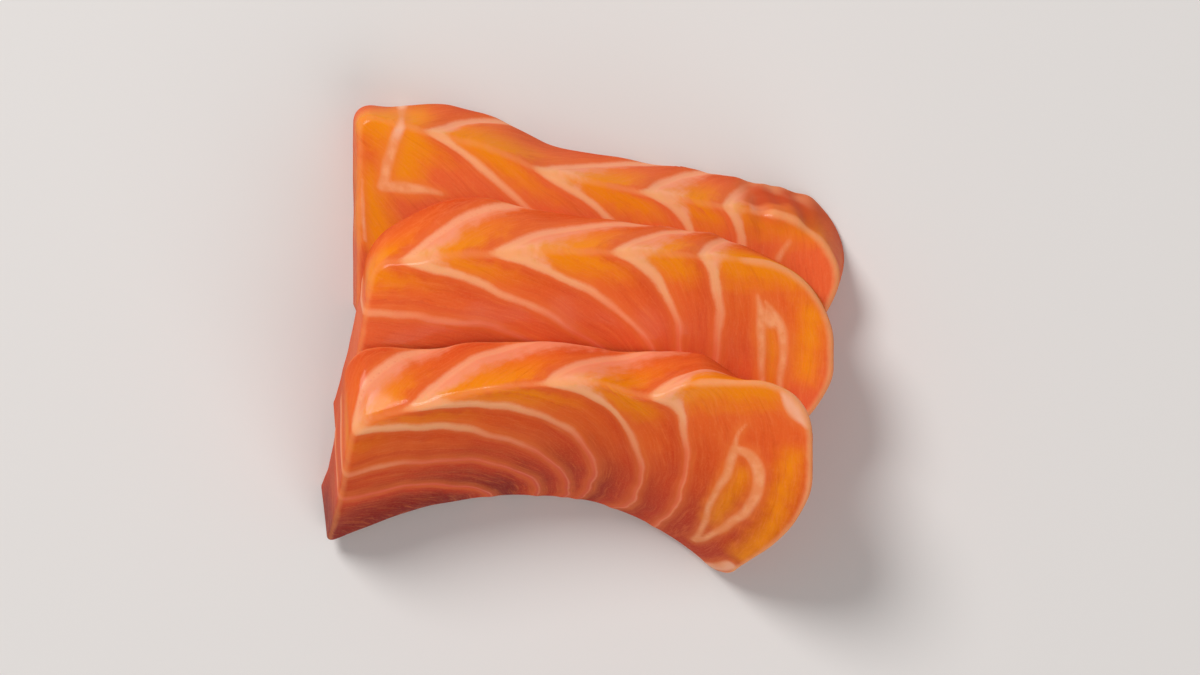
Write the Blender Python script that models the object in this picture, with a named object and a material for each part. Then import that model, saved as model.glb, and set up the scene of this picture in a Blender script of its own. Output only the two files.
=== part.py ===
"""Salmon sashimi: a row of three slices of one raw salmon block, leaning on each other as they were cut.

Metres, +Z up. +X runs along the slices to their rounded ends, and +Y points back, to the skin side.
The slices are shaped as a flat deck of cards, each pushed forward on the one below it. The deck is then
bent down over the front of the lowest slice, so that the front edges of the slices stand on the plate.
"""

import math

import bmesh
import bpy
from mathutils import Matrix, Vector

MM = 0.001

# Driving dimensions of one slice
THICKNESS = 9.0 * MM
GAP = 0.3 * MM
EDGE_ROUND = 1.0 * MM
LEFT_CORNER = 2.5 * MM
END_THINNING = 2.0 * MM
LEFT_THINNING = 0.8 * MM
END_SLANT = 0.1
TUCK = 9.5 * MM

# The bend of the deck: the depth of its centre below the plate, on the left and at the rounded ends
STEEP_BEND = 4.0 * MM
FLAT_BEND = 18.0 * MM
TOE_HEIGHT = 1.2 * MM

# Spacing of the mesh along, across and through a slice
STEP = 2.3 * MM
LAYERS = 4

SLICE_COUNT = 3
FLESH = (0.78, 0.16, 0.05, 1.0)


class Slice:
    """One slice of the row, lengths given in mm. level counts the slices under it.

    ends is the span of its length at the skin edge, and lean how far the left end runs out toward the toe. The
    right end turns in from the share tuck_from of the width. corners are the radii of the right end, at the
    skin side and at the toe, and spread is the outward slope of the right end at the skin side. slant gives
    the slope of the skin side at stations along the slice, as (x in mm, slope).
    """

    def __init__(self, name, level, ends, width, lean, tuck_from, corners, spread, slant, skin_edge):
        self.name = name
        self.level = level
        self.left, self.right = (end * MM for end in ends)
        self.width = width * MM
        self.lean = lean * MM
        self.tuck_from = tuck_from
        self.skin_corner, self.toe_corner = (radius * MM for radius in corners)
        self.spread = spread
        self.slant = slant
        self.skin_edge = skin_edge


def back_skin_edge(x):
    """Where the upper skin edge of the back slice runs, seen from above."""
    t = x / MM
    shoulder = 1.2 * ease(-3.0, -13.0, t) - 0.4 * ease(-16.0, -26.0, t)
    return (20.0 - 0.22 * t + 0.002 * t * t + shoulder) * MM


def middle_skin_edge(x):
    t = x / MM
    return (11.0 - 0.0022 * t * t) * MM


def front_skin_edge(x):
    t = x / MM
    dip = 1.9 * math.exp(-(((t - 8.0) / 4.2) ** 2))
    return (-4.8 - 0.0065 * min(t - 2.0, 0.0) ** 2 - dip) * MM


BACK_SLANT = ((-28.0, 0.15), (-16.0, 0.48), (-10.0, 0.52), (-4.0, 0.42), (12.0, 0.5), (24.0, 0.46))
MIDDLE_SLANT = ((-30.0, 0.3), (-15.0, 0.85), (2.0, 0.5), (14.0, 0.38), (25.0, 0.05))
FRONT_SLANT = ((-28.0, 0.85), (-16.0, 0.28), (-6.0, 0.1), (3.0, -0.05), (9.0, 0.25), (14.0, 0.12), (20.0, -0.2))

SLICES = (
    Slice("slice_back", 0, (-27.8, 32.3), 27.0, 0.0, 0.2, (9.0, 8.0), 0.2, BACK_SLANT, back_skin_edge),
    Slice("slice_middle", 1, (-25.6, 31.0), 29.0, 5.0, 0.42, (9.5, 7.0), 0.0, MIDDLE_SLANT, middle_skin_edge),
    Slice("slice_front", 2, (-28.0, 28.2), 33.0, 4.0, 0.36, (7.0, 3.0), 0.0, FRONT_SLANT, front_skin_edge),
)


def ease(low, high, x):
    """0 below low, 1 above high, and a smooth step between them."""
    t = min(max((x - low) / (high - low), 0.0), 1.0)
    return t * t * (3.0 - 2.0 * t)


def at_station(stations, x):
    """The value at x of a profile that eases from each station to the next."""
    value = stations[0][1]
    for (x0, v0), (x1, v1) in zip(stations, stations[1:]):
        value += (v1 - v0) * ease(x0 * MM, x1 * MM, x)
    return value


def thickness_at(x):
    thinner_right = END_THINNING * ease(2.0 * MM, 30.0 * MM, x)
    thinner_left = LEFT_THINNING * ease(-16.0 * MM, -31.0 * MM, x)
    return THICKNESS - thinner_right - thinner_left


def bend_depth(x):
    return STEEP_BEND + (FLAT_BEND - STEEP_BEND) * ease(-6.0 * MM, 28.0 * MM, x)


def toe_line(x):
    """Where the front slice's lower edge stands on the plate: an arch, drawn back at its middle."""
    crown_x, crown_y = -7.0 * MM, -19.4 * MM
    if x < crown_x:
        return crown_y - 4.4 * MM * ((x - crown_x) / (21.0 * MM)) ** 2
    return crown_y - 12.0 * MM * ((x - crown_x) / (26.0 * MM)) ** 2.25


def level_height(level, x):
    """The height of a slice's lower face in the flat deck."""
    return level * (thickness_at(x) + GAP)


def bend_line(x):
    """Where the deck starts to bend down, set so that the front slice ends on the toe line."""
    depth = bend_depth(x)
    outer = depth + level_height(SLICE_COUNT - 1, x) + thickness_at(x)
    return toe_line(x) + math.sqrt(outer**2 - (depth + TOE_HEIGHT) ** 2)


def to_world(x, along_face, height, face_height):
    """Bends a point of the flat deck. along_face is its distance from the bend line on the slice's upper face."""
    depth = bend_depth(x)
    if along_face <= 0.0:
        return Vector((x, bend_line(x) - along_face, max(height, 0.0)))
    angle = along_face / (depth + face_height)
    radius = depth + height
    y = bend_line(x) - radius * math.sin(angle)
    return Vector((x, y, max(radius * math.cos(angle) - depth, 0.0)))


def face_distance(y, x, face_height):
    """The distance from the bend line on the upper face of the point that is at y, seen from above."""
    forward = bend_line(x) - y
    radius = bend_depth(x) + face_height
    return forward if forward <= 0.0 else radius * math.asin(min(forward / radius, 1.0))


def edge_rows(length, step):
    """Cuts along one side of a slice: two close to each edge, for its rounding, and even ones between."""
    rounding = [EDGE_ROUND * (1.0 - math.cos(math.radians(a))) for a in (45.0, 90.0)]
    inner = length - 2.0 * EDGE_ROUND
    count = round(inner / step)
    even = [EDGE_ROUND + inner * i / count for i in range(1, count)]
    return rounding + even + [length - r for r in reversed(rounding)]


def lattice_block(size, cuts):
    """A block with one corner at the origin, scored across at the cuts given for each axis."""
    bm = bmesh.new()
    place = Matrix.Diagonal((*size, 1.0)) @ Matrix.Translation((0.5, 0.5, 0.5))
    bmesh.ops.create_cube(bm, size=1.0, matrix=place)
    for axis, places in enumerate(cuts):
        normal = Vector((0.0, 0.0, 0.0))
        normal[axis] = 1.0
        for place in places:
            everything = bm.verts[:] + bm.edges[:] + bm.faces[:]
            bmesh.ops.bisect_plane(bm, geom=everything, plane_co=normal * place, plane_no=normal, dist=1e-7)
    return bm


def round_corner(part, x, s, length):
    """Moves a point of the rectangle so that the corners of its outline become arcs."""
    side_x = 1.0 if x > length / 2.0 else -1.0
    side_s = 1.0 if s > part.width / 2.0 else -1.0
    right_radius = part.toe_corner if side_s > 0.0 else part.skin_corner
    radius = right_radius if side_x > 0.0 else LEFT_CORNER
    past_x = side_x * (x - length / 2.0) - (length / 2.0 - radius)
    past_s = side_s * (s - part.width / 2.0) - (part.width / 2.0 - radius)
    if past_x <= 0.0 or past_s <= 0.0:
        return x, s
    share = max(past_x, past_s) / math.hypot(past_x, past_s)
    return x + side_x * past_x * (share - 1.0), s + side_s * past_s * (share - 1.0)


def edge_drop(inset):
    """How far a face lies below its full height, this far in from its outline."""
    if inset >= EDGE_ROUND:
        return 0.0
    return EDGE_ROUND - math.sqrt(EDGE_ROUND**2 - (EDGE_ROUND - inset) ** 2)


def shape_point(part, point, length):
    """The place in the world of a point of the slice's block."""
    x, s, through = point.x, point.y, point.z / THICKNESS
    inset = min(x, length - x, s, part.width - s)
    x, s = round_corner(part, x, s, length)
    along, across = x / length, s / part.width
    thick = THICKNESS - 2.0 * edge_drop(max(inset, 0.0))
    raised = 0.5 + (through - 0.5) * thick / THICKNESS
    depth_in = (1.0 - raised) * THICKNESS
    left = part.left - part.lean * across - END_SLANT * depth_in * (1.0 - along) ** 4
    spread = part.spread * depth_in * (1.0 - across) ** 2 * along**4
    right = part.right - TUCK * ease(part.tuck_from, 1.0, across) + spread
    x = left + (right - left) * along
    thickness = thickness_at(x)
    bottom = level_height(part.level, x)
    face_height = bottom + thickness
    start = face_distance(part.skin_edge(x), x, face_height)
    depth = bend_depth(x)
    floor = (depth + face_height) * math.acos((depth + TOE_HEIGHT) / (depth + face_height))
    end = min(start + part.width, floor)
    slant = at_station(part.slant, x) * depth_in * (1.0 - across) ** 2
    return to_world(x, start + (end - start) * across - slant, bottom + raised * thickness, face_height)


def flesh_material():
    material = bpy.data.materials.new("salmon_flesh")
    material.use_nodes = True
    shader = material.node_tree.nodes["Principled BSDF"]
    shader.inputs["Base Color"].default_value = FLESH
    shader.inputs["Roughness"].default_value = 0.35
    shader.inputs["Metallic"].default_value = 0.0
    return material


def make_slice(part, material, collection):
    length = part.right - part.left
    through = [THICKNESS * i / LAYERS for i in range(1, LAYERS)]
    cuts = (edge_rows(length, STEP), edge_rows(part.width, STEP), through)
    bm = lattice_block((length, part.width, THICKNESS), cuts)
    places = [shape_point(part, vertex.co, length) for vertex in bm.verts]
    for vertex, place in zip(bm.verts, places):
        vertex.co = place
    bmesh.ops.triangulate(bm, faces=bm.faces[:])
    bmesh.ops.recalc_face_normals(bm, faces=bm.faces[:])
    mesh = bpy.data.meshes.new(part.name)
    bm.to_mesh(mesh)
    bm.free()
    mesh.materials.append(material)
    mesh.shade_smooth()
    slice_object = bpy.data.objects.new(part.name, mesh)
    collection.objects.link(slice_object)
    return slice_object


def centre_on_origin(objects):
    """Moves the objects so that their common box stands on the origin."""
    corners = [vertex.co for thing in objects for vertex in thing.data.vertices]
    middle_x = (min(c.x for c in corners) + max(c.x for c in corners)) / 2.0
    middle_y = (min(c.y for c in corners) + max(c.y for c in corners)) / 2.0
    for thing in objects:
        thing.location = (-middle_x, -middle_y, 0.0)


def main():
    for thing in list(bpy.data.objects):
        bpy.data.objects.remove(thing, do_unlink=True)
    collection = bpy.data.collections.new("salmon_sashimi")
    bpy.context.scene.collection.children.link(collection)
    flesh = flesh_material()
    centre_on_origin([make_slice(part, flesh, collection) for part in SLICES])


main()
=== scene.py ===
"""Looks of the salmon sashimi: finely modelled slices with fat lines, on a pale floor, seen from above."""

import math
from collections import namedtuple

import bpy
import numpy as np
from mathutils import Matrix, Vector


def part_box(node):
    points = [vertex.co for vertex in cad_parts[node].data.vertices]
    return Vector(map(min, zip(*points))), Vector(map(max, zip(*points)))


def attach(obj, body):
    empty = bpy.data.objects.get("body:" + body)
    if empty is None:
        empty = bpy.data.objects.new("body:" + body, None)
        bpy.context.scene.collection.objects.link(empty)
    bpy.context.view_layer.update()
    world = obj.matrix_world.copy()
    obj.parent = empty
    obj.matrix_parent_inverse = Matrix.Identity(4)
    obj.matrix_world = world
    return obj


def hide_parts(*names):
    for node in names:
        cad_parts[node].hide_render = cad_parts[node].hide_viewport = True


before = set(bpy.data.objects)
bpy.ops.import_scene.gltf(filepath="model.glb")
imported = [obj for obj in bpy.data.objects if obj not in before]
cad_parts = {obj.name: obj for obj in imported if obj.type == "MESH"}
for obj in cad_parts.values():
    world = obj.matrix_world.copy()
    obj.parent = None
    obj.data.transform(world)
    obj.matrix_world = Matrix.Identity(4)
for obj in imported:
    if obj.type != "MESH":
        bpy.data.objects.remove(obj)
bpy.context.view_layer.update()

# All lengths of the slices are in millimetres here, and become metres in the meshes.
MM = 0.001

# Dimensions of the slices, as in part.py
THICKNESS = 9.0
GAP = 0.3
LEFT_CORNER = 2.5
END_THINNING = 2.0
LEFT_THINNING = 0.8
END_SLANT = 0.1
TUCK = 9.5
STEEP_BEND = 4.0
FLAT_BEND = 18.0
TOE_HEIGHT = 1.2
SLICE_COUNT = 3

# The modelled surface
EDGE_ROUND = 0.9
STEP = 0.32
SIDE_STEP = 0.4

# Relief: fat lines stand out a little and notch the skin edge, and the cut faces are not quite flat
LINE_RISE = 0.09
LINE_RISE_REACH = 0.6
MARK_RISE = 0.05
MARK_RISE_REACH = 0.4
SCALLOP = 0.4
SCALLOP_REACH = 0.9
SCALLOP_FADE = 1.5
SWELL = 0.1
CRUMPLE = 0.6
CRUMPLE_FADE = 2.2
CRUMPLE_START = 4.0

# Half the width of a fat line at the skin edge, what it loses down the face and gains on the skin side
LINE_HALF = 0.6
LINE_THINNING = 0.2
WALL_WIDENING = 0.06

# How far the fat sheets waver along the slice and down its face, and the strokes of fat
WAVER_ALONG = 0.34
WAVER_DOWN = 0.28
STROKE_WAVER = 0.25

# From TURN_FROM down the face the fat sheets turn back to the left, by TURN_BACK in the next TURN_OVER
TURN_BACK = 1.3
TURN_FROM = 9.0
TURN_OVER = 10.0

# How much more the fat sheets run along x toward the foot of the skin side, per square mm of depth
FOOT_BEND = 0.009

# The pale patches behind the lines: their least reach along x, and how fast they fade down the face
PATCH_LEAST = 0.3
PATCH_FADE = 1.4

# Widths along x, beyond the outermost fat lines, that count as one band, for the lines and for the grain
OUTER_BAND = 34.0
GRAIN_BAND = 9.0

# Value of a distance field far from everything that it measures, and the most that the material reads
FAR = 99.0
FIELD_LIMIT = 9.0

# Points up to this height rest on the plate, and take no relief
ON_PLATE = 0.02


def ease(low, high, x):
    t = np.clip((x - low) / (high - low), 0.0, 1.0)
    return t * t * (3.0 - 2.0 * t)


def at_station(stations, x):
    """The value at x of a profile that eases from each station to the next."""
    value = np.full_like(x, stations[0][1])
    for (x0, v0), (x1, v1) in zip(stations, stations[1:]):
        value = value + (v1 - v0) * ease(x0, x1, x)
    return value


def back_skin_edge(x):
    shoulder = 1.2 * ease(-3.0, -13.0, x) - 0.4 * ease(-16.0, -26.0, x)
    return 20.0 - 0.22 * x + 0.002 * x * x + shoulder


def middle_skin_edge(x):
    return 11.0 - 0.0022 * x * x


def front_skin_edge(x):
    dip = 1.9 * np.exp(-(((x - 8.0) / 4.2) ** 2))
    return -4.8 - 0.0065 * np.minimum(x - 2.0, 0.0) ** 2 - dip


# A fat sheet. It meets the upper skin edge at x = start, runs toward x = end as it goes down the face,
# within a few lengths, and moves by rise in x for the first mm of depth. patch is how far the pale flesh
# behind it goes at the upper skin edge, and foot how far it goes at the foot of the skin side. A sheet with
# no foot fades out halfway down.
Septum = namedtuple("Septum", ("start", "end", "length", "rise", "patch", "foot"))


class Slice:
    """One slice of the row, with the same names as in part.py, and its fat.

    Places on it are (x, s, w): x along the deck, s the distance from the skin edge down the upper face, and
    w the depth under that face. septa lists the fat sheets from the right to the left. marks are strokes of
    fat that belong to no sheet, and golds are strokes of yellower flesh, each a list of (x, s, half width).
    A half width near zero or below makes a faint stroke. Right of crumpled_from the skin edge is uneven.
    """

    def __init__(self, name, level, ends, width, lean, tuck_from, corners, spread, slant, skin_edge):
        self.name = name
        self.level = level
        self.left, self.right = ends
        self.width = width
        self.lean = lean
        self.tuck_from = tuck_from
        self.skin_corner, self.toe_corner = corners
        self.spread = spread
        self.slant = slant
        self.skin_edge = skin_edge
        self.septa = ()
        self.marks = ()
        self.golds = ()
        self.crumpled_from = self.right


BACK_SLANT = ((-28.0, 0.15), (-16.0, 0.48), (-10.0, 0.52), (-4.0, 0.42), (12.0, 0.5), (24.0, 0.46))
MIDDLE_SLANT = ((-30.0, 0.3), (-15.0, 0.85), (2.0, 0.5), (14.0, 0.38), (25.0, 0.05))
FRONT_SLANT = (
    (-28.0, 0.85),
    (-16.0, 0.28),
    (-6.0, 0.1),
    (3.0, -0.05),
    (9.0, 0.25),
    (14.0, 0.12),
    (20.0, -0.2),
)

BACK = Slice("slice_back", 0, (-27.8, 32.3), 27.0, 0.0, 0.2, (9.0, 8.0), 0.2, BACK_SLANT, back_skin_edge)
BACK.septa = (
    Septum(18.0, 19.8, 1.4, 0.25, 2.4, 1.4),
    Septum(7.8, 14.0, 1.4, 0.56, 4.6, 1.4),
    Septum(-5.4, 13.6, 6.9, 1.05, 5.5, 2.4),
    Septum(-18.6, 12.0, 12.0, 0.68, 1.8, 0.4),
)
BACK.marks = (
    ((-22.4, 0.3, 0.5), (-23.9, 4.8, 0.45), (-24.5, 8.4, 0.6)),
    ((-24.5, 8.4, 0.6), (-20.8, 7.6, 0.6), (-17.2, 7.5, 0.2)),
    ((-27.2, 5.0, -0.25), (-27.1, 10.0, 0.02), (-27.0, 15.5, 0.1)),
    ((25.6, 3.3, 0.2), (24.5, 5.7, 0.3)),
    ((21.6, 0.0, 0.5), (23.4, 0.6, 0.3)),
)
BACK.golds = (((-22.0, 1.4, 2.0), (-22.2, 5.8, 1.6)), ((-26.3, 8.0, 0.6), (-25.4, 14.0, 1.6)))
BACK.crumpled_from = 18.5

MIDDLE = Slice(
    "slice_middle", 1, (-25.6, 31.0), 29.0, 5.0, 0.42, (9.5, 7.0), 0.0, MIDDLE_SLANT, middle_skin_edge
)
MIDDLE.septa = (
    Septum(14.5, 16.8, 1.7, 0.28, 2.8, 1.7),
    Septum(4.4, 12.5, 3.9, 0.68, 5.0, 3.0),
    Septum(-10.5, 14.3, 8.1, 1.3, 7.0, 4.4),
    Septum(-21.8, 22.0, 15.8, 1.0, 5.0, 3.4),
    Septum(-97.0, 5.6, 5.3, 1.0, 5.0, 3.0),
)
MIDDLE.marks = (
    ((21.6, 4.4, 0.1), (22.2, 7.2, 0.5), (22.0, 10.5, 0.42), (22.2, 15.5, 0.3)),
    ((22.6, 5.2, 0.1), (24.2, 7.4, 0.5), (24.8, 10.5, 0.45), (24.5, 15.5, 0.3)),
    ((22.8, 6.2, 0.3), (23.2, 7.6, 0.9)),
)
MIDDLE.golds = (((23.3, 9.5, 0.1), (23.4, 15.0, 0.1)), ((28.2, 6.0, 0.5), (27.4, 13.0, 0.5)))

FRONT = Slice(
    "slice_front", 2, (-28.0, 28.2), 33.0, 4.0, 0.36, (7.0, 3.0), 0.0, FRONT_SLANT, front_skin_edge
)
FRONT.septa = (
    Septum(8.6, 12.9, 2.5, 1.3, 4.2, 0.0),
    Septum(-4.4, 7.8, 3.3, 0.85, 6.3, 6.3),
    Septum(-20.5, 3.1, 4.7, 1.0, 4.0, 11.0),
    Septum(-30.5, 2.7, 8.3, 0.8, 4.0, 5.0),
    Septum(-100.0, -1.0, 5.7, 1.2, 6.0, 4.0),
    Septum(-160.0, -5.0, 6.3, 1.0, 6.0, 4.0),
)
FRONT.marks = (
    ((18.7, 9.0, 0.45), (17.6, 13.0, 0.4), (16.1, 17.5, 0.34), (14.7, 23.5, 0.32), (14.0, 26.8, 0.35)),
    (
        (18.7, 9.0, 0.5),
        (20.6, 9.7, 0.65),
        (21.7, 12.6, 0.7),
        (20.8, 16.6, 0.55),
        (18.2, 20.7, 0.4),
        (14.0, 26.8, 0.35),
    ),
    ((20.0, 5.4, 0.05), (19.0, 7.0, 0.15), (18.6, 9.0, 0.3)),
    ((24.4, 1.6, 0.3), (26.0, 3.0, 1.3), (27.5, 5.6, 0.4)),
    ((15.8, 32.0, 0.6), (18.4, 29.0, 0.8)),
)
FRONT.golds = (
    ((19.2, 12.5, 0.3), (16.4, 20.5, 0.2)),
    ((25.6, 10.0, 0.2), (23.6, 18.0, 0.4), (20.0, 26.0, 0.4)),
)

SLICES = (BACK, MIDDLE, FRONT)


def thickness_at(x):
    return THICKNESS - END_THINNING * ease(2.0, 30.0, x) - LEFT_THINNING * ease(-16.0, -31.0, x)


def bend_depth(x):
    return STEEP_BEND + (FLAT_BEND - STEEP_BEND) * ease(-6.0, 28.0, x)


def toe_line(x):
    """Where the front slice's lower edge stands on the plate: an arch, drawn back at its middle."""
    crown_x, crown_y = -7.0, -19.4
    left_fall, left_run = 4.4, 21.0
    right_fall, right_run = 12.0, 26.0
    left = left_fall * ((x - crown_x) / left_run) ** 2
    right = right_fall * (np.abs(x - crown_x) / right_run) ** 2.25
    return crown_y - np.where(x < crown_x, left, right)


def level_height(level, x):
    return level * (thickness_at(x) + GAP)


def bend_line(x):
    depth = bend_depth(x)
    outer = depth + level_height(SLICE_COUNT - 1, x) + thickness_at(x)
    return toe_line(x) + np.sqrt(outer**2 - (depth + TOE_HEIGHT) ** 2)


def to_world(x, along_face, height, face_height):
    """Bends points of the flat deck down over the front of the lowest slice."""
    depth = bend_depth(x)
    flat = along_face <= 0.0
    angle = np.where(flat, 0.0, along_face / (depth + face_height))
    radius = depth + height
    y = bend_line(x) - np.where(flat, along_face, radius * np.sin(angle))
    z = np.where(flat, height, radius * np.cos(angle) - depth)
    return np.stack((x, y, np.maximum(z, 0.0)), axis=-1)


def face_distance(y, x, face_height):
    forward = bend_line(x) - y
    radius = bend_depth(x) + face_height
    return np.where(forward <= 0.0, forward, radius * np.arcsin(np.clip(forward / radius, -1.0, 1.0)))


def round_corner(part, x, s, length):
    """Moves points of the rectangle so that the corners of its outline become arcs."""
    side_x = np.where(x > length / 2.0, 1.0, -1.0)
    side_s = np.where(s > part.width / 2.0, 1.0, -1.0)
    right_radius = np.where(side_s > 0.0, part.toe_corner, part.skin_corner)
    radius = np.where(side_x > 0.0, right_radius, LEFT_CORNER)
    past_x = side_x * (x - length / 2.0) - (length / 2.0 - radius)
    past_s = side_s * (s - part.width / 2.0) - (part.width / 2.0 - radius)
    inside = (past_x > 0.0) & (past_s > 0.0)
    share = np.where(inside, np.maximum(past_x, past_s) / np.maximum(np.hypot(past_x, past_s), 1e-9), 1.0)
    return x + side_x * past_x * (share - 1.0), s + side_s * past_s * (share - 1.0)


def edge_drop(inset):
    left = np.clip(EDGE_ROUND - inset, 0.0, EDGE_ROUND)
    return EDGE_ROUND - np.sqrt(EDGE_ROUND**2 - left**2)


def rows(length, step):
    """Cuts along one side of a slice: close ones over the rounding of each edge, and even ones between."""
    rounding = [EDGE_ROUND * (1.0 - math.cos(math.radians(a))) for a in (18, 36, 54, 72)]
    inner = length - 2.0 * EDGE_ROUND
    count = max(round(inner / step), 1)
    even = [EDGE_ROUND + inner * i / count for i in range(count + 1)]
    return np.array([0.0] + rounding + even + [length - r for r in reversed(rounding)] + [length])


def block_surface(xs, ss, ts):
    """Points and quads of the surface of a block that is cut at the given rows.

    The quads face outward in the block. Its s runs against the world's y, so in the world they face inward.
    """
    counts = (len(xs), len(ss), len(ts))

    def ids(i, j, k):
        return (i * counts[1] + j) * counts[2] + k

    quads = []
    for axis in range(3):
        u_axis, v_axis = [a for a in range(3) if a != axis]
        u, v = np.meshgrid(np.arange(counts[u_axis] - 1), np.arange(counts[v_axis] - 1), indexing="ij")
        for end in (0, counts[axis] - 1):
            corners = []
            for du, dv in ((0, 0), (1, 0), (1, 1), (0, 1)):
                index = [None, None, None]
                index[axis] = np.full_like(u, end)
                index[u_axis] = u + du
                index[v_axis] = v + dv
                corners.append(ids(*index).ravel())
            quad = np.stack(corners, axis=-1)
            outward = (end > 0) == (axis != 1)
            quads.append(quad if outward else quad[:, ::-1])
    quads = np.concatenate(quads)
    used, quads = np.unique(quads, return_inverse=True)
    quads = quads.reshape(-1, 4)
    k = used % counts[2]
    j = used // counts[2] % counts[1]
    i = used // (counts[2] * counts[1])
    return xs[i], ss[j], ts[k], quads


def ripple(x, s, w, phase):
    """A smooth uneven field between about -1 and 1, some millimetres from crest to crest."""
    a = np.sin(0.55 * x + 0.31 * s + phase) * np.sin(0.23 * x - 0.47 * s + 0.4 * w + 1.7 * phase)
    b = np.sin(1.13 * x - 0.64 * s + 0.5 * w + 2.3 * phase) * np.sin(0.71 * s + 0.38 * x - 0.6 * phase)
    return 0.65 * a + 0.35 * b


def septum_x(septum, s, w):
    """Where a fat sheet lies along x, at distance s from the skin edge and depth w under the face."""
    turn_back = TURN_BACK * (np.maximum(s - TURN_FROM, 0.0) / TURN_OVER) ** 2
    along = septum.rise * w * (1.0 + FOOT_BEND * w**2)
    still_to_run = (septum.end - septum.start) * np.exp(-np.maximum(s, 0.0) / septum.length)
    return septum.end - still_to_run - turn_back + along


def septum_slope(septum, s, w):
    """How much a sheet moves along x for each mm down the face."""
    step = 0.5
    return (septum_x(septum, s + step, w) - septum_x(septum, s, w)) / step


FAT_FIELDS = ("bands", "grain", "band", "stretch", "half", "reach")
MORE_FIELDS = ("mark", "gold", "arris", "rim", "seam", "crumple")


def fat_fields(part, x, s, w):
    """The fat pattern at points of a slice, as fields by name that the material turns into colour.

    bands falls by one from each fat line to the next along x, and is whole on the lines only. grain is the
    same count, and goes on past the last lines. band is the width in mm of the band between two lines,
    straight across it, and stretch its width along x. half is half the width of a line, and reach how far
    along x the pale patch behind it goes.
    """
    x = x + WAVER_ALONG * ripple(x, s, w, part.level * 2.1)
    s = np.maximum(s + WAVER_DOWN * ripple(x, s, w, 4.0 + part.level) * ease(0.0, 3.0, s), 0.0)
    places = np.stack([septum_x(septum, s, w) for septum in part.septa])
    slopes = np.stack([septum_slope(septum, s, w) for septum in part.septa])
    rises = np.broadcast_to(np.array([[septum.rise] for septum in part.septa]), places.shape)
    behind = x[None] - places
    count = (behind < 0.0).sum(axis=0)
    on_wall = ease(1.0, 0.0, s) * ease(0.2, 1.2, w)

    after = np.where(behind >= 0.0, behind, FAR).min(axis=0)
    before = np.where(behind < 0.0, -behind, FAR).min(axis=0)
    on_left, on_right = after == FAR, before == FAR
    nearby = np.maximum(np.where(on_right, places[0] - places[1], places[-2] - places[-1]), 1.0)
    outer = nearby + (OUTER_BAND - nearby) * ease(0.0, 3.0, np.where(on_right, after, before))
    stretch = np.where(on_left | on_right, outer, after + before)
    # Left of the last line the share stays below one half, so that no further line shows there
    most = np.where(on_left, 0.49, 1.0)
    bands = count + np.where(on_right, 1.0 - after / stretch, np.minimum(before / stretch, most))
    outside = np.where(on_left, before, 0.0) - np.where(on_right, after, 0.0)
    grain = np.where(on_left | on_right, count + on_right + outside / GRAIN_BAND, bands)
    pick = np.abs(behind).argmin(axis=0)[None]
    slope = np.take_along_axis(slopes, pick, axis=0)[0]
    rise = np.take_along_axis(rises, pick, axis=0)[0] * (1.0 + 3.0 * FOOT_BEND * w**2)
    across = (1.0 - on_wall) / np.sqrt(1.0 + slope**2) + on_wall / np.sqrt(1.0 + rise**2)
    fading = np.array([septum.foot == 0.0 for septum in part.septa])[pick[0]] * ease(2.0, 4.5, w)
    half = LINE_HALF - LINE_THINNING * ease(2.0, 16.0, s) + WALL_WIDENING * on_wall
    half = half - 2.0 * LINE_HALF * fading
    reaches = np.array([(0.0, 0.0)] + [(septum.patch, septum.foot) for septum in part.septa[::-1]])
    patch, foot = reaches[len(part.septa) - count].T
    reach = PATCH_LEAST + (patch + (foot - patch) * ease(0.0, 10.0, w)) * np.exp(-s / PATCH_FADE)
    return dict(zip(FAT_FIELDS, (bands, grain, stretch * across, stretch, half, reach)))


def line_distance(fields):
    """The distance in mm from the nearest fat line."""
    bands = fields["bands"]
    return np.abs(bands - np.round(np.maximum(bands, 1.0))) * fields["band"]


def stroke_field(stroke, x, s):
    """The distance in mm past the edge of a stroke, drawn as a smooth curve through its few places."""
    places = np.array(stroke)
    ends = np.concatenate((2.0 * places[:1] - places[1:2], places, 2.0 * places[-1:] - places[-2:-1]))
    curve = []
    for a, b, c, d in zip(ends, ends[1:], ends[2:], ends[3:]):
        square, cube = 2.0 * a - 5.0 * b + 4.0 * c - d, 3.0 * b - a - 3.0 * c + d
        for t in np.arange(0.0, 1.0, 0.1):
            curve.append(0.5 * (2.0 * b + (c - a) * t + square * t**2 + cube * t**3))
    curve.append(places[-1])
    field = np.full_like(x, FAR)
    for (x0, s0, half0), (x1, s1, half1) in zip(curve, curve[1:]):
        run_x, run_s = x1 - x0, s1 - s0
        t = np.clip(((x - x0) * run_x + (s - s0) * run_s) / (run_x**2 + run_s**2), 0.0, 1.0)
        distance = np.hypot(x - x0 - t * run_x, s - s0 - t * run_s)
        field = np.minimum(field, distance - half0 - t * (half1 - half0))
    return field


def strokes_field(strokes, x, s):
    return np.min([stroke_field(stroke, x, s) for stroke in strokes], axis=0)


def seam_field(part, x, s):
    """The distance in mm up the face from where the next slice lies on it."""
    if part.level == SLICE_COUNT - 1:
        return np.full_like(x, FAR)
    upper = SLICES[part.level + 1]
    face_height = level_height(part.level, x) + thickness_at(x)
    upper_height = level_height(upper.level, x) + thickness_at(x)
    foot = face_distance(upper.skin_edge(x), x, upper_height) - THICKNESS * at_station(upper.slant, x)
    bent = (bend_depth(x) + face_height) / (bend_depth(x) + upper_height)
    start = face_distance(part.skin_edge(x), x, face_height)
    return np.where(foot > 0.0, foot * bent, foot) - start - s


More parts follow.
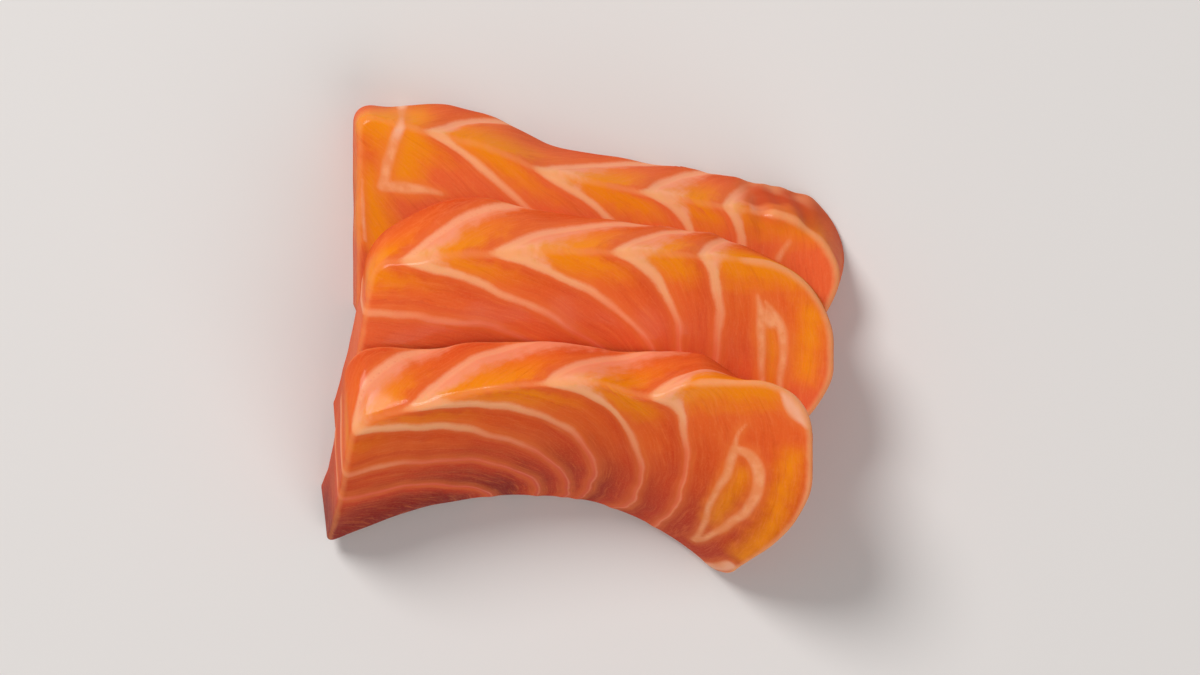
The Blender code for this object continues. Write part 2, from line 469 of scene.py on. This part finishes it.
def shape_points(part, x, s, through):
    """World places of points of the slice's block, their (x, s, w), the fat fields, and their inset.

    The inset is how far a point lies in from the outline of the block.
    """
    length = part.right - part.left
    inset = np.maximum(np.minimum(np.minimum(x, length - x), np.minimum(s, part.width - s)), 0.0)
    x, s = round_corner(part, x, s, length)
    along, across = x / length, s / part.width
    thick = THICKNESS - 2.0 * edge_drop(inset)
    raised = 0.5 + (through / THICKNESS - 0.5) * thick / THICKNESS
    depth_in = (1.0 - raised) * THICKNESS
    left = part.left - part.lean * across - END_SLANT * depth_in * (1.0 - along) ** 4
    spread = part.spread * depth_in * (1.0 - across) ** 2 * along**4
    right = part.right - TUCK * ease(part.tuck_from, 1.0, across) + spread
    x = left + (right - left) * along
    thickness = thickness_at(x)
    bottom = level_height(part.level, x)
    face_height = bottom + thickness
    start = face_distance(part.skin_edge(x), x, face_height)
    depth = bend_depth(x)
    floor_s = (depth + face_height) * np.arccos((depth + TOE_HEIGHT) / (depth + face_height))
    end = np.minimum(start + part.width, floor_s)
    on_face = (end - start) * across
    slant = at_station(part.slant, x) * depth_in * (1.0 - across) ** 2
    fields = fat_fields(part, x, on_face, depth_in)
    notch = SCALLOP * np.exp(-((line_distance(fields) / SCALLOP_REACH) ** 2))
    notch = notch * np.exp(-on_face / SCALLOP_FADE)
    world = to_world(x, start + on_face - slant + notch, bottom + raised * thickness, face_height)
    return world, (x, on_face, depth_in), fields, inset


def crumple_field(part, x, s):
    """How crumpled the surface is: 1 along the uneven stretch of the skin edge, and 0 far from it."""
    by_edge = np.exp(-((s / CRUMPLE_FADE) ** 2))
    return by_edge * ease(part.crumpled_from, part.crumpled_from + CRUMPLE_START, x)


def rim_field(part, x, w, inset, on_right_half):
    """The distance in mm from the upper rim of the rounded end, and more before the last fat line."""
    last_line = part.septa[0].start
    past_last_line = ease(last_line - 1.0, last_line + 6.0, x)
    return np.where(on_right_half, np.maximum(inset, w), FAR) + 6.0 * (1.0 - past_last_line)


def relief(part, places, fields, mark, crumple):
    """How far points move along the mesh's normals, which point into the slice.

    Fat lines and strokes stand out, the crumpled stretch is dented, and the rest is slightly uneven.
    """
    x, s, w = places
    rise = LINE_RISE * np.exp(-((line_distance(fields) / LINE_RISE_REACH) ** 2))
    rise = np.maximum(rise, MARK_RISE * np.exp(-((np.maximum(mark, 0.0) / MARK_RISE_REACH) ** 2)))
    dent = SWELL * ripple(x * 0.8, s * 0.8, w, part.level + 5.0)
    dent = dent + CRUMPLE * crumple * (0.4 + ripple(x * 1.3, s * 1.3, w * 0.9, 2.0))
    return dent - rise


def vertex_normals(mesh):
    normals = np.empty(len(mesh.vertices) * 3)
    mesh.vertex_normals.foreach_get("vector", normals)
    return normals.reshape(-1, 3)


def add_values(mesh, name, values):
    attribute = mesh.attributes.new(name, "FLOAT", "POINT")
    attribute.data.foreach_set("value", np.ascontiguousarray(values, dtype=np.float32))


def make_slice(part, material, world_shift):
    length = part.right - part.left
    side_cuts = np.linspace(0.0, THICKNESS, round(THICKNESS / SIDE_STEP) + 1)
    xs, ss, ts, quads = block_surface(rows(length, STEP), rows(part.width, STEP), side_cuts)
    world, (x, s, w), fields, inset = shape_points(part, xs, ss, ts)
    mesh = bpy.data.meshes.new(part.name + "_flesh")
    mesh.from_pydata((world * MM).tolist(), [], quads.tolist())
    mesh.update()

    wavy_x = x + STROKE_WAVER * ripple(x, s, w, 9.0)
    wavy_s = s + STROKE_WAVER * ripple(x, s, w, 11.0)
    mark = strokes_field(part.marks, wavy_x, wavy_s)
    gold = strokes_field(part.golds, wavy_x, wavy_s)
    crumple = crumple_field(part, x, s)
    off_plate = world[:, 2] > ON_PLATE
    inward = relief(part, (x, s, w), fields, mark, crumple) * off_plate
    world = world + vertex_normals(mesh) * inward[:, None]
    world[:, 2] = np.maximum(world[:, 2], 0.0)
    mesh.vertices.foreach_set("co", ((world - world_shift) * MM).ravel())
    mesh.update()

    flat = mesh.attributes.new("flat", "FLOAT_VECTOR", "POINT")
    flat.data.foreach_set("vector", np.stack((x, s, w), axis=-1).astype(np.float32).ravel())
    arris = np.maximum(inset, np.minimum(w, THICKNESS - w))
    rim = rim_field(part, x, w, inset, xs > length / 2.0)
    seam = seam_field(part, x, s)
    for name, values in fields.items():
        add_values(mesh, name, values)
    for name, values in zip(MORE_FIELDS, (mark, gold, arris, rim, seam, crumple)):
        add_values(mesh, name, np.minimum(values, FIELD_LIMIT))
    mesh.shade_smooth()
    mesh.materials.append(material)
    piece = bpy.data.objects.new(part.name + "_flesh", mesh)
    bpy.context.scene.collection.objects.link(piece)
    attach(piece, "root")
    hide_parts(part.name)


def deck_shift():
    """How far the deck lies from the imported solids, measured at the right and rear of the back slice."""
    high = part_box("slice_back")[1]
    samples = 400
    length = BACK.right - BACK.left
    along, across = np.linspace(0.0, length, samples), np.linspace(0.0, BACK.width, samples)
    faces = [np.full(samples, t) for t in (0.0, THICKNESS)]
    at_right = [shape_points(BACK, np.full(samples, length), across, face)[0] for face in faces]
    at_rear = [shape_points(BACK, along, np.zeros(samples), face)[0] for face in faces]
    right = max(places[:, 0].max() for places in at_right)
    rear = max(places[:, 1].max() for places in at_rear)
    return np.array((right - high[0] / MM, rear - high[1] / MM, 0.0))


class Nodes:
    """Short calls for building a material's node tree."""

    def __init__(self, material):
        self.tree = material.node_tree

    def add(self, kind, **settings):
        node = self.tree.nodes.new(kind)
        for key, value in settings.items():
            setattr(node, key, value)
        return node

    def plug(self, socket, value):
        if isinstance(value, bpy.types.NodeSocket):
            self.tree.links.new(value, socket)
        elif value is not None:
            socket.default_value = value

    def value(self, name):
        return self.add("ShaderNodeAttribute", attribute_name=name).outputs["Fac"]

    def vector(self, name):
        return self.add("ShaderNodeAttribute", attribute_name=name).outputs["Vector"]

    def math(self, operation, a, b=None):
        node = self.add("ShaderNodeMath", operation=operation)
        for socket, value in zip(node.inputs, (a, b)):
            self.plug(socket, value)
        return node.outputs[0]

    def times(self, *factors):
        result = factors[0]
        for factor in factors[1:]:
            result = self.math("MULTIPLY", result, factor)
        return result

    def minus(self, a, b):
        return self.math("SUBTRACT", a, b)

    def plus(self, *terms):
        result = terms[0]
        for term in terms[1:]:
            result = self.math("ADD", result, term)
        return result

    def step(self, value, low, high, to_low=0.0, to_high=1.0):
        """Eases from to_low where value is low to to_high where it is high."""
        node = self.add("ShaderNodeMapRange", interpolation_type="SMOOTHSTEP")
        sockets = ("Value", "From Min", "From Max", "To Min", "To Max")
        for name, item in zip(sockets, (value, low, high, to_low, to_high)):
            self.plug(node.inputs[name], item)
        return node.outputs["Result"]

    def mix(self, factor, a, b):
        """Colour a where factor is 0 and colour b where it is 1."""
        node = self.add("ShaderNodeMix", data_type="RGBA")
        factor_input, a_input, b_input = (node.inputs[index] for index in (0, 6, 7))
        for socket, value in ((factor_input, factor), (a_input, a), (b_input, b)):
            self.plug(socket, value)
        return node.outputs[2]

    def noise(self, vector, scale, detail=2.0, roughness=0.5, distortion=0.0):
        node = self.add("ShaderNodeTexNoise")
        settings = {
            "Vector": vector,
            "Scale": scale,
            "Detail": detail,
            "Roughness": roughness,
            "Distortion": distortion,
        }
        for name, value in settings.items():
            self.plug(node.inputs[name], value)
        return node.outputs["Fac"]

    def uneven(self, noise, amount):
        """A noise turned into an offset, from about -amount / 2 to amount / 2."""
        return self.times(self.minus(noise, 0.5), amount)

    def combine(self, x, y, z):
        node = self.add("ShaderNodeCombineXYZ")
        for socket, value in zip(node.inputs, (x, y, z)):
            self.plug(socket, value)
        return node.outputs[0]

    def separate(self, vector):
        node = self.add("ShaderNodeSeparateXYZ")
        self.plug(node.inputs[0], vector)
        return node.outputs


def srgb(r, g, b):
    """A colour given in 0 to 255 screen values, as the linear one that shaders use."""
    def linear(c):
        c = c / 255.0
        return c / 12.92 if c <= 0.04045 else ((c + 0.055) / 1.055) ** 2.4
    return (linear(r), linear(g), linear(b), 1.0)


# Colours of the flesh: down the face, painted shade on the lower left, and in places, among them painted
# light where the next slice lies and painted shade at the foot of the walls
FLESH_TOP = srgb(240, 106, 42)
FLESH_MIDDLE = srgb(234, 92, 38)
FLESH_LOW = srgb(192, 56, 30)
FLESH_SHADED = srgb(130, 22, 21)
FLESH_BEFORE_LINE = srgb(216, 66, 31)
FLESH_UNDER_NEXT_LIT = srgb(242, 106, 60)
FLESH_SKIN_EDGE = srgb(247, 140, 8)
FLESH_GOLDEN = srgb(250, 146, 8)
FLESH_WALL_FOOT_SHADE = srgb(208, 66, 34)
STREAK_PALE = srgb(250, 134, 68)
STREAK_RED = srgb(200, 48, 16)
SPECK = srgb(250, 146, 84)
STRAND = srgb(250, 152, 96)

# Colours of the fat: the patches behind the lines, the lines, the other strokes, and the pale edges: a
# painted highlight along every edge, and the rim, pale membrane with a painted highlight on it
PATCH_PINK = srgb(254, 172, 132)
PATCH_YELLOW = srgb(244, 168, 100)
PATCH_WALL = srgb(249, 148, 112)
LINE_GLOW = srgb(246, 122, 58)
LINE_TOP = srgb(255, 174, 122)
LINE_LOW = srgb(252, 122, 80)
LINE_SHADED = srgb(220, 80, 62)
LINE_WALL = srgb(251, 158, 120)
MARK_GLOW = srgb(246, 126, 60)
MARK_DULL = srgb(248, 150, 94)
MARK_BRIGHT = srgb(255, 168, 116)
MARK_EDGE_HIGHLIGHT = srgb(255, 188, 156)
CRUMPLED = srgb(228, 104, 42)
FOLD_RED = srgb(200, 62, 22)
FOLD_PALE = srgb(238, 146, 100)
EDGE_HIGHLIGHT = srgb(253, 158, 98)
RIM_PALE = srgb(252, 162, 106)


class Pattern:
    """The fields of the fat pattern and the noises of the flesh, as sockets of a node tree.

    The functions after it each lay colours over the last one. They take the Nodes n and this Pattern p.
    """

    def __init__(self, n):
        self.flat = n.vector("flat")
        self.x, self.s, self.w = n.separate(self.flat)
        bands, grain, band, stretch, half, reach = (n.value(name) for name in FAT_FIELDS)
        more = (n.value(name) for name in MORE_FIELDS)
        self.mark, self.gold, self.arris, self.rim, self.seam, self.crumple = more

        # way goes from 0 behind one fat line to 1 at the next, and ahead is the distance left to that
        way = n.minus(n.math("MAXIMUM", n.math("CEIL", bands), 1.0), bands)
        self.ahead = n.times(n.minus(1.0, way), band)
        self.wedge = n.math("DIVIDE", n.times(way, stretch), reach)
        at_line = n.math("ROUND", n.math("MAXIMUM", bands, 1.0))
        self.fat = n.minus(n.times(n.math("ABSOLUTE", n.minus(bands, at_line)), band), half)

        # Large clouds, mottling, a fine grain, and streaks and hairs that run along the bands
        self.broad = n.noise(self.flat, 0.16, 2.0)
        self.mottle = n.noise(self.flat, 0.6, 3.0)
        self.fine = n.noise(self.flat, 3.4, 3.0, 0.6)
        along_x = n.times(self.x, 0.13)
        along_s = n.times(n.plus(self.s, self.w), 0.16)
        self.streak = n.noise(n.combine(n.times(grain, 9.0), along_x, along_s), 1.5, 3.0, 0.55, 0.2)
        self.hair = n.noise(n.combine(n.times(grain, 17.0), along_x, along_s), 1.4, 2.0, 0.5, 0.3)
        self.down = n.plus(self.s, n.uneven(self.broad, 8.0))
        self.ragged = n.plus(n.uneven(self.mottle, 0.3), n.uneven(self.fine, 0.26))
        self.on_left = n.step(self.x, 12.0, -4.0)


def flesh_colour(n, p):
    """Orange, redder before each fat line and down the face, and yellower along the skin edge. Painted
    shade darkens the lower left and the foot of the walls, and painted bounce light makes the flesh paler
    where the next slice lies on it.
    """
    colour = n.mix(n.step(p.down, 1.0, 12.0), FLESH_TOP, FLESH_MIDDLE)
    colour = n.mix(n.step(p.down, 7.0, 22.0, 0.0, 0.9), colour, FLESH_LOW)
    # Painted shade: the lower left of each face turns dark red, more so down the face
    shaded = n.times(n.step(p.down, 4.0, 23.0, 0.0, 0.95), p.on_left)
    colour = n.mix(shaded, colour, FLESH_SHADED)
    redder = n.step(n.plus(p.ahead, n.uneven(p.mottle, 2.0)), 4.0, 0.2)
    colour = n.mix(n.times(redder, n.step(p.down, 0.0, 5.0, 0.45, 0.85)), colour, FLESH_BEFORE_LINE)
    # Painted bounce light: the flesh turns paler and more coral up to about 9 mm above where the next slice
    # lies
    lit_under_next = n.step(n.plus(p.seam, n.uneven(p.mottle, 2.0)), 9.0, 1.0, 0.0, 0.72)
    colour = n.mix(lit_under_next, colour, FLESH_UNDER_NEXT_LIT)
    skin_side = n.times(n.step(n.plus(p.s, n.uneven(p.mottle, 3.0)), 5.0, 1.2), n.step(p.w, 6.5, 1.0))
    yellower = n.times(skin_side, n.step(n.plus(p.ahead, n.uneven(p.mottle, 3.0)), 0.6, 3.4, 0.0, 0.92))
    colour = n.mix(yellower, colour, FLESH_SKIN_EDGE)
    golden = n.step(n.plus(p.gold, n.uneven(p.mottle, 2.0)), 3.0, -1.2, 0.0, 0.9)
    colour = n.mix(golden, colour, FLESH_GOLDEN)
    # Painted shade: the walls turn darker red toward their foot
    colour = n.mix(n.step(p.w, 4.5, 9.0, 0.0, 0.6), colour, FLESH_WALL_FOOT_SHADE)
    colour = n.mix(n.step(p.streak, 0.5, 0.78, 0.0, 0.3), colour, STREAK_PALE)
    colour = n.mix(n.step(p.streak, 0.48, 0.22, 0.0, 0.24), colour, STREAK_RED)
    colour = n.mix(n.step(p.fine, 0.4, 0.75, 0.0, 0.12), colour, SPECK)
    strand = n.step(n.math("ABSOLUTE", n.minus(p.hair, 0.5)), 0.04, 0.0, 0.0, 0.12)
    return n.mix(strand, colour, STRAND)


def with_lines(n, p, colour, line):
    """The fat sheets over the flesh: a glow, the pale patches behind the lines, and the lines."""
    glow = n.step(n.plus(p.fat, p.ragged), 1.2, -0.1, 0.0, 0.45)
    colour = n.mix(glow, colour, LINE_GLOW)
    patch = n.step(n.plus(p.wedge, n.uneven(p.mottle, 0.9), n.uneven(p.streak, 0.6)), 1.15, 0.35, 0.0, 0.92)
    patch_colour = n.mix(n.step(p.mottle, 0.35, 0.7), PATCH_PINK, PATCH_YELLOW)
    patch_colour = n.mix(n.step(p.w, 0.4, 2.5, 0.0, 0.85), patch_colour, PATCH_WALL)
    colour = n.mix(patch, colour, patch_colour)
    pale = n.mix(n.step(p.down, 1.0, 13.0), LINE_TOP, LINE_LOW)
    # Painted shade: on the lower left the lines dim to a dull red, as the flesh there does
    pale = n.mix(n.times(n.step(p.down, 5.0, 21.0), p.on_left), pale, LINE_SHADED)
    pale = n.mix(n.step(p.w, 0.3, 3.0, 0.0, 0.7), pale, LINE_WALL)
    return n.mix(n.times(line, n.step(p.down, 3.0, 27.0, 0.94, 0.76)), colour, pale)


def with_strokes(n, p, colour):
    """The strokes of fat that belong to no sheet, with a glow, and paler at the edges of the slice, where a
    highlight is painted on them.
    """
    stroke_glow = n.step(n.plus(p.mark, n.uneven(p.mottle, 0.8)), 1.4, -0.1, 0.0, 0.5)
    colour = n.mix(stroke_glow, colour, MARK_GLOW)
    soft = n.plus(n.uneven(p.mottle, 0.25), n.uneven(p.fine, 0.2))
    stroke = n.step(n.plus(p.mark, soft), 0.35, -0.35, 0.0, 0.94)
    stroke_colour = n.mix(n.step(p.mottle, 0.35, 0.65), MARK_DULL, MARK_BRIGHT)
    # Painted highlight: the strokes of fat turn whiter within 3 mm of an edge
    stroke_colour = n.mix(n.step(p.arris, 3.0, 0.8, 0.0, 0.85), stroke_colour, MARK_EDGE_HIGHLIGHT)
    return n.mix(stroke, colour, stroke_colour)


def with_crumple(n, p, colour):
    """The crumpled end of the skin side, red on top and paler toward its foot."""
    colour = n.mix(n.times(p.crumple, 0.8), colour, CRUMPLED)
    folds = n.plus(p.w, n.uneven(n.noise(p.flat, 0.3, 1.0), 7.0))
    colour = n.mix(n.times(p.crumple, n.step(folds, 0.5, 3.0, 0.0, 0.78)), colour, FOLD_RED)
    return n.mix(n.times(p.crumple, n.step(folds, 5.0, 8.5, 0.0, 0.75)), colour, FOLD_PALE)


def with_edges(n, p, colour):
    """A painted highlight along the edges all round the faces, and a paler rim along the rounded end: its
    pale membrane, with a painted highlight on it.
    """
    # Painted highlight: a pale line along every edge of the block
    edge = n.step(n.plus(p.arris, n.uneven(p.mottle, 0.6), n.uneven(p.fine, 0.3)), 0.9, 0.2, 0.0, 0.42)
    colour = n.mix(edge, colour, EDGE_HIGHLIGHT)
    # The rim of the rounded end: a pale membrane, brightened by a painted highlight
    rim = n.step(n.plus(p.rim, p.ragged), 1.2, 0.2, 0.0, 0.85)
    return n.mix(rim, colour, RIM_PALE)


def flesh_material():
    material = bpy.data.materials.new("raw_salmon")
    material.use_nodes = True
    n = Nodes(material)
    p = Pattern(n)
    line = n.step(n.plus(p.fat, p.ragged), 0.2, -0.42)
    colour = with_lines(n, p, flesh_colour(n, p), line)
    colour = with_edges(n, p, with_crumple(n, p, with_strokes(n, p, colour)))
    shader = material.node_tree.nodes["Principled BSDF"]
    n.plug(shader.inputs["Base Color"], colour)
    n.plug(shader.inputs["Roughness"], n.step(n.plus(p.mottle, n.uneven(p.fine, 0.4)), 0.3, 0.7, 0.3, 0.48))
    shader.inputs["Metallic"].default_value = 0.0
    shader.inputs["IOR"].default_value = 1.36
    shader.inputs["Specular IOR Level"].default_value = 0.0
    shader.inputs["Subsurface Weight"].default_value = 0.2
    shader.inputs["Subsurface Radius"].default_value = (1.0, 0.3, 0.1)
    shader.inputs["Subsurface Scale"].default_value = 0.002
    shader.inputs["Coat Weight"].default_value = 0.22
    shader.inputs["Coat Roughness"].default_value = 0.16

    parts = ((p.streak, 0.35), (p.fine, 0.3), (line, 0.3), (p.hair, 0.12))
    relief = n.plus(*(n.times(height, share) for height, share in parts))
    bump = n.add("ShaderNodeBump")
    bump.inputs["Strength"].default_value = 0.4
    bump.inputs["Distance"].default_value = 0.0003
    n.plug(bump.inputs["Height"], relief)
    n.plug(shader.inputs["Normal"], bump.outputs[0])
    return material


def plain_material(name, colour, roughness):
    material = bpy.data.materials.new(name)
    material.use_nodes = True
    shader = material.node_tree.nodes["Principled BSDF"]
    shader.inputs["Base Color"].default_value = colour
    shader.inputs["Roughness"].default_value = roughness
    shader.inputs["Specular IOR Level"].default_value = 0.2
    return material


def make_floor():
    reach = 3.0
    mesh = bpy.data.meshes.new("floor")
    corners = [(x * reach, y * reach, 0.0) for x, y in ((-1, -1), (1, -1), (1, 1), (-1, 1))]
    mesh.from_pydata(corners, [], [(0, 1, 2, 3)])
    mesh.materials.append(plain_material("pale_floor", srgb(231, 228, 226), 0.7))
    floor = bpy.data.objects.new("floor", mesh)
    bpy.context.scene.collection.objects.link(floor)


def area_light(name, place, size, power, colour):
    """A round soft light that points at the origin."""
    light = bpy.data.lights.new(name, "AREA")
    light.shape = "DISK"
    light.size = size
    light.energy = power
    light.color = colour
    lamp = bpy.data.objects.new(name, light)
    bpy.context.scene.collection.objects.link(lamp)
    lamp.location = place
    lamp.rotation_euler = (-Vector(place)).to_track_quat("-Z", "Y").to_euler()


def make_lights():
    world = bpy.data.worlds.new("studio")
    bpy.context.scene.world = world
    world.use_nodes = True
    background = world.node_tree.nodes["Background"]
    background.inputs["Color"].default_value = (1.0, 0.99, 0.985, 1.0)
    background.inputs["Strength"].default_value = 0.26
    area_light("key", place=(-0.52, 0.66, 0.84), size=0.5, power=9.8, colour=(1.0, 0.98, 0.965))
    area_light("fill", place=(0.34, -0.72, 0.6), size=0.8, power=3.4, colour=(1.0, 0.985, 0.975))


def make_camera():
    """Looks straight down, as in the photo, at a point a little to the right of the row's middle."""
    distance = 0.8
    view_width = 0.15
    aside = 0.002
    camera = bpy.data.cameras.new("camera")
    camera.sensor_width = 36.0
    camera.lens = camera.sensor_width * distance / view_width
    camera.clip_start = 0.01
    eye = bpy.data.objects.new("camera", camera)
    bpy.context.scene.collection.objects.link(eye)
    eye.location = (aside, 0.0, distance)
    bpy.context.scene.camera = eye


flesh = flesh_material()
shift = deck_shift()
for part in SLICES:
    make_slice(part, flesh, shift)
make_floor()
make_lights()
make_camera()
bpy.context.scene.view_settings.view_transform = "Standard"
